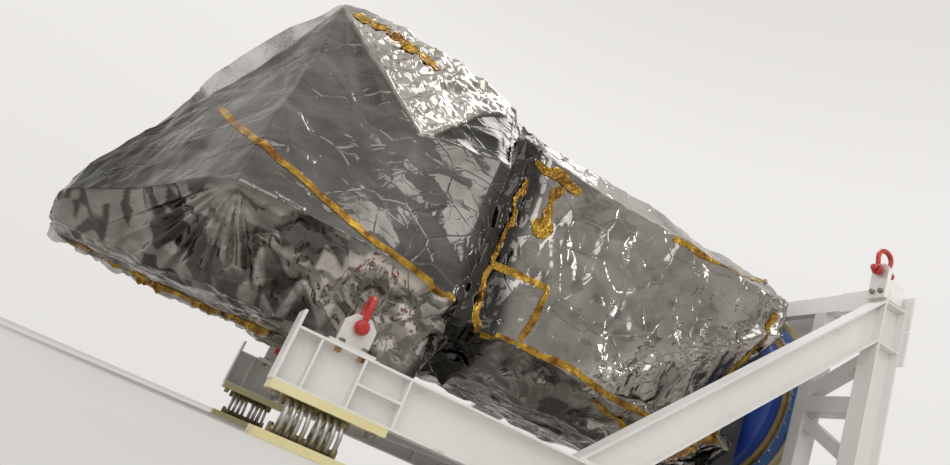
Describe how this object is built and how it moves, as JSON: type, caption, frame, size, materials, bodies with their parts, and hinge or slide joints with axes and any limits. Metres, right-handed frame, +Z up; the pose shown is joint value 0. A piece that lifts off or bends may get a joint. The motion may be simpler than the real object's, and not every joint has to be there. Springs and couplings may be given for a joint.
{
  "type": "bagged satellite on an L-shaped handling frame",
  "caption": "Satellite under a crumpled foil bag, held by its aft ring on an L-shaped aluminium handling frame with wire rope isolators and lifting shackles.",
  "frame": {"origin": "on the floor, midway between the bag's nose and the rear feet, on the centre plane", "axes": "+X aft from the nose to the rings, +Y to the right-hand side, +Z up"},
  "size_m": [3.9, 2.248, 2.237],
  "materials": {
    "frame_paint": "satin",
    "bare_aluminium": "satin",
    "chromate": "satin",
    "wire_rope": "satin",
    "shackle_red": "gloss",
    "pin_steel": "gloss",
    "dark_blue": "satin",
    "light_blue": "satin",
    "cream": "satin",
    "gold_band": "satin",
    "spacecraft": "satin",
    "foil": "gloss"
  },
  "bodies": {
    "frame": {"left_rail": "frame_paint", "right_rail": "frame_paint", "rail_end_plates": "frame_paint", "front_cross_beam": "frame_paint", "middle_cross_beam": "frame_paint", "rear_cross_beam": "frame_paint", "front_diagonals": "frame_paint", "rear_diagonals": "frame_paint", "left_column": "frame_paint", "right_column": "frame_paint", "top_cross_beam": "frame_paint", "inner_posts": "frame_paint", "side_beams": "frame_paint", "knee_braces": "frame_paint", "left_brace": "frame_paint", "right_brace": "frame_paint", "ring_plate": "frame_paint", "rear_feet": "frame_paint", "top_beam_gussets": "bare_aluminium", "front_left_lug": "bare_aluminium", "front_right_lug": "bare_aluminium", "rear_left_lug": "bare_aluminium", "rear_right_lug": "bare_aluminium", "isolator_bars": "bare_aluminium", "isolator_upper_plates": "chromate", "isolator_lower_plates": "chromate", "isolator_ropes": "wire_rope", "adapter_cone": "dark_blue", "light_blue_ring": "light_blue", "cream_ring": "cream", "clamp_band": "gold_band", "spacecraft_bus": "spacecraft", "payload_module": "spacecraft", "bag_forward": "foil", "bag_aft": "foil"},
    "front_left_shackle": {"front_left_shackle_bow": "shackle_red", "front_left_shackle_pin": "pin_steel"},
    "front_right_shackle": {"front_right_shackle_bow": "shackle_red", "front_right_shackle_pin": "pin_steel"},
    "rear_left_shackle": {"rear_left_shackle_bow": "shackle_red", "rear_left_shackle_pin": "pin_steel"},
    "rear_right_shackle": {"rear_right_shackle_bow": "shackle_red", "rear_right_shackle_pin": "pin_steel"}
  },
  "joints": [
    {"name": "front_left_shackle_swing", "type": "hinge", "parent": "frame", "child": "front_left_shackle", "pos_m": [-0.656, -1.036, 0.491], "axis": [0, 1, 0], "range_deg": [-100, 100]},
    {"name": "front_right_shackle_swing", "type": "hinge", "parent": "frame", "child": "front_right_shackle", "pos_m": [-0.656, 1.036, 0.491], "axis": [0, 1, 0], "range_deg": [-100, 100]},
    {"name": "rear_left_shackle_swing", "type": "hinge", "parent": "frame", "child": "rear_left_shackle", "pos_m": [1.7733, -1.036, 1.978], "axis": [1, 0, 0], "range_deg": [-100, 100]},
    {"name": "rear_right_shackle_swing", "type": "hinge", "parent": "frame", "child": "rear_right_shackle", "pos_m": [1.7733, 1.036, 1.978], "axis": [1, 0, 0], "range_deg": [-100, 100]}
  ]
}
